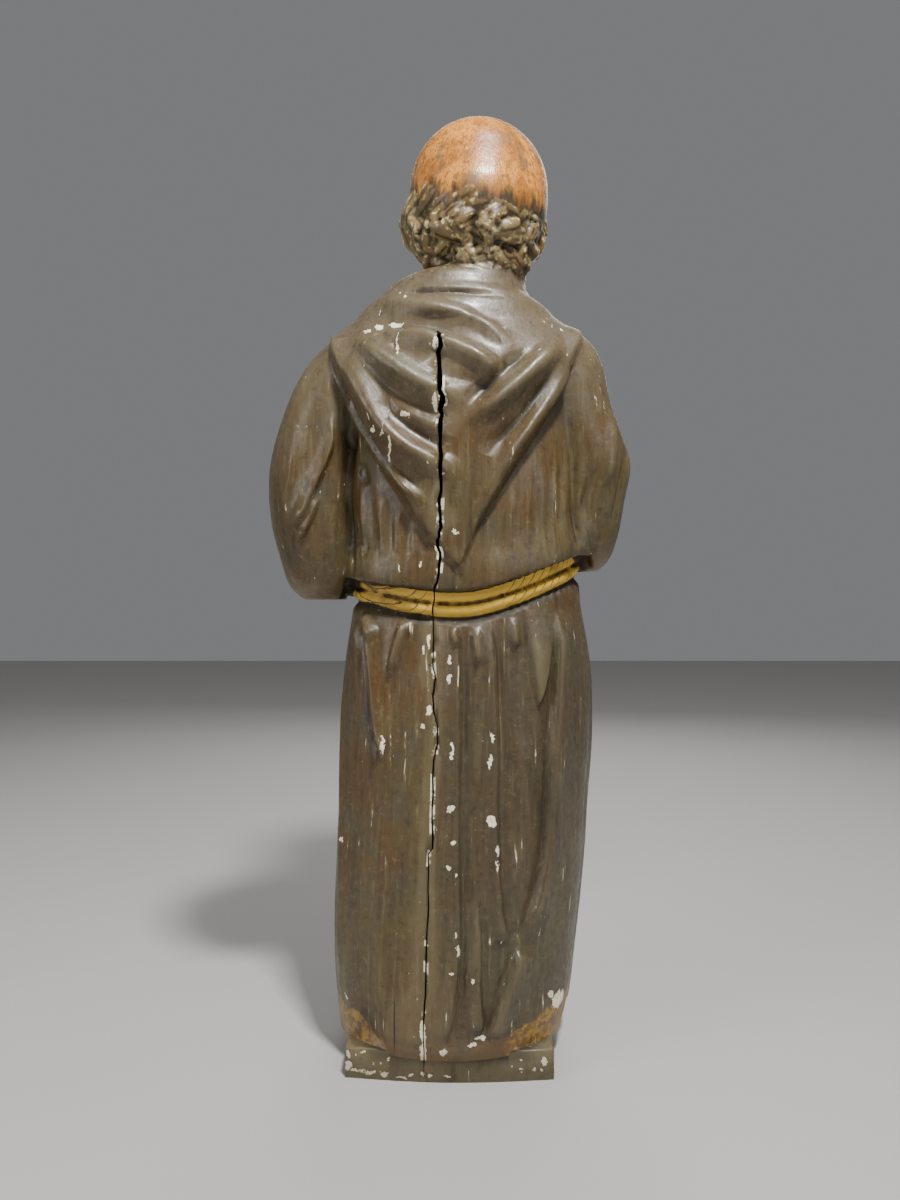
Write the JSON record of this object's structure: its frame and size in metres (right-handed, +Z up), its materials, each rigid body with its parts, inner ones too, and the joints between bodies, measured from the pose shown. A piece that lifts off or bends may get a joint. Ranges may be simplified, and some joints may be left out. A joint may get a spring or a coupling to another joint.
{
  "type": "carved wooden saint statue",
  "caption": "Painted wooden figure of a standing friar in a hooded habit with a cord belt and folded hands, carved with its low plinth to stand on a level surface.",
  "frame": {"origin": "on the flat underside of the plinth, under the axis of the standing figure", "axes": "+Z up through the figure, -Y the way the figure faces, +X the figure's left"},
  "size_m": [0.3905, 0.287, 0.9888],
  "materials": {
    "painted_wood": "painted, satin"
  },
  "bodies": {
    "root": {"saint_statue": "painted_wood"}
  },
  "joints": []
}
